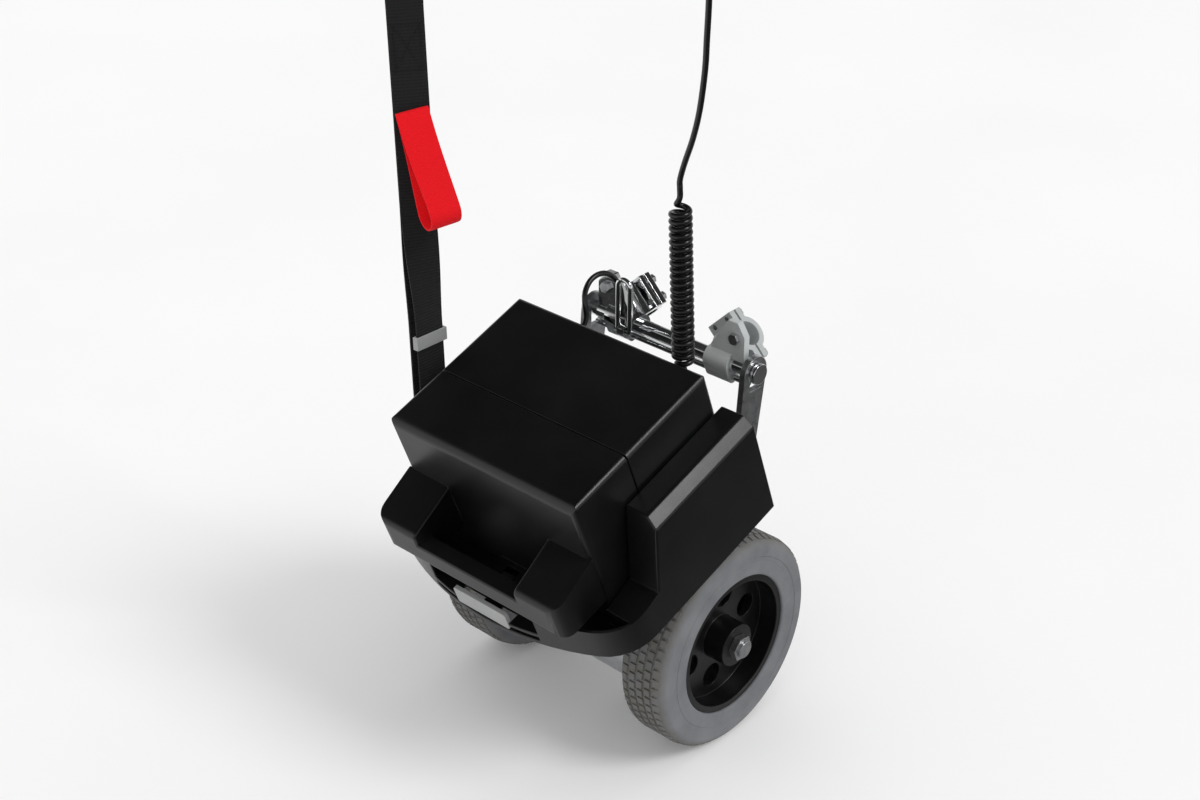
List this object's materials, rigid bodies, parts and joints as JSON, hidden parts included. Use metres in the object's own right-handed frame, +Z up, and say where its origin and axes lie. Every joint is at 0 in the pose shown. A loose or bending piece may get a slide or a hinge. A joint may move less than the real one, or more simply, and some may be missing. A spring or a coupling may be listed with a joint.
{
  "type": "wheelchair power assist",
  "caption": "Clip-on battery drive unit for a wheelchair: twin drive wheels under a tray, lift-out battery with handle, hitch bar, lift strap, curly lead and hand control.",
  "frame": {"origin": "centre of the hitch bar that hangs between the chair's two brace tubes", "axes": "+X to the right, +Y forward in the direction of travel, +Z up; the unit stands on its wheels 331 mm below the origin"},
  "size_m": [0.3508, 0.2961, 0.7556],
  "materials": {
    "chrome": "polished plating",
    "cast_grey": "light grey enamel",
    "zinc": "zinc plated",
    "shell_black": "fine moulded grain",
    "part_dark": "satin",
    "motor_paint": "satin black",
    "cell_wrap": "shrink film",
    "contact_brass": "bright",
    "pale_plastic": "satin",
    "cast_alloy": "die cast",
    "tyre_grey": "solid grey rubber",
    "cord_rubber": "satin",
    "strap_web": "ribbed webbing",
    "loop_web": "plain webbing",
    "switch_red": "gloss"
  },
  "bodies": {
    "hitch": {"crossbar": "chrome", "tie_rod": "chrome", "left_brace_clamp": "chrome", "left_clamp_cap": "chrome", "right_brace_clamp": "cast_grey", "right_clamp_cap": "cast_grey", "clamp_bolts": "zinc", "lift_strap": "strap_web", "pull_loop": "loop_web", "cord_curl": "cord_rubber", "cord_lead": "cord_rubber", "lock_cable": "cord_rubber", "pad_shell": "shell_black", "pad_base": "shell_black", "pad_clamp": "shell_black", "pad_clamp_cap": "shell_black", "pad_screws": "zinc", "pad_gland": "cord_rubber"},
    "drive_unit": {"hitch_arm_left": "zinc", "hitch_arm_right": "zinc", "arm_bolts": "zinc", "chassis_plate": "zinc", "base_tray": "shell_black", "front_cover": "shell_black", "cover_screws": "zinc", "dock_connector": "part_dark", "latch_guide": "part_dark", "latch_spring": "zinc", "controller_box": "cast_alloy", "motor_can": "motor_paint", "motor_end_cap": "part_dark", "motor_gearhead": "cast_alloy", "gear_case_left": "cast_alloy", "gear_case_right": "cast_alloy", "case_screws": "zinc", "axle_bearings": "zinc", "axle_hanger": "cast_alloy", "cord_gland": "cord_rubber", "strap_anchor": "zinc", "anchor_screws": "zinc", "strap_slider": "pale_plastic", "cable_clip": "part_dark"},
    "wheels": {"axle_shaft": "zinc", "axle_gear": "zinc", "left_hub": "shell_black", "right_hub": "shell_black", "left_tyre": "tyre_grey", "right_tyre": "tyre_grey", "axle_nuts": "zinc"},
    "rotor": {"pinion_shaft": "zinc"},
    "battery": {"battery_case": "shell_black", "battery_base": "part_dark", "battery_blocks": "cell_wrap", "battery_contacts": "contact_brass"},
    "latch": {"latch_plate": "pale_plastic"},
    "bail": {"bail_lever": "chrome"},
    "throttle": {"throttle_lever": "part_dark"},
    "dial": {"speed_dial": "part_dark"},
    "rocker": {"power_rocker": "switch_red"}
  },
  "joints": [
    {"name": "unit_lift", "type": "hinge", "parent": "hitch", "child": "drive_unit", "pos_m": [0, 0, 0], "axis": [-1, 0, 0], "range_deg": [0, 22], "deforming": ["lift_strap", "pull_loop", "cord_curl", "cord_lead", "lock_cable"]},
    {"name": "wheel_spin", "type": "hinge", "parent": "drive_unit", "child": "wheels", "pos_m": [0, -0.063, -0.231], "axis": [1, 0, 0], "continuous": true},
    {"name": "rotor_spin", "type": "hinge", "parent": "drive_unit", "child": "rotor", "pos_m": [0, -0.05725, -0.16525], "axis": [1, 0, 0], "continuous": true},
    {"name": "battery_lift", "type": "slide", "parent": "drive_unit", "child": "battery", "axis": [0, -0.342, 0.9397], "range_m": [0, 0.14]},
    {"name": "latch_push", "type": "slide", "parent": "drive_unit", "child": "latch", "axis": [0, 0.9397, 0.342], "range_m": [0, 0.006], "stiffness_N_per_m": 600, "springref_m": -0.003, "deforming": ["latch_spring"]},
    {"name": "bail_flip", "type": "hinge", "parent": "hitch", "child": "bail", "pos_m": [-0.038, -0.02, 0.002], "axis": [1, 0, 0], "range_deg": [0, 45]},
    {"name": "throttle_turn", "type": "hinge", "parent": "hitch", "child": "throttle", "pos_m": [0.106, -0.123, 0.418], "axis": [0, 0, 1], "range_deg": [0, 30], "stiffness_Nm_per_rad": 0.2, "springref_deg": -5.73},
    {"name": "dial_turn", "type": "hinge", "parent": "hitch", "child": "dial", "pos_m": [0.112, -0.098, 0.42], "axis": [0, 0, 1], "range_deg": [0, 270]},
    {"name": "rocker_tip", "type": "hinge", "parent": "hitch", "child": "rocker", "pos_m": [0.112, -0.074, 0.413], "axis": [1, 0, 0], "range_deg": [-6, 6]}
  ],
  "couplings": [
    {"joint": "rotor_spin", "follows": "wheel_spin", "ratio": -4.5}
  ]
}
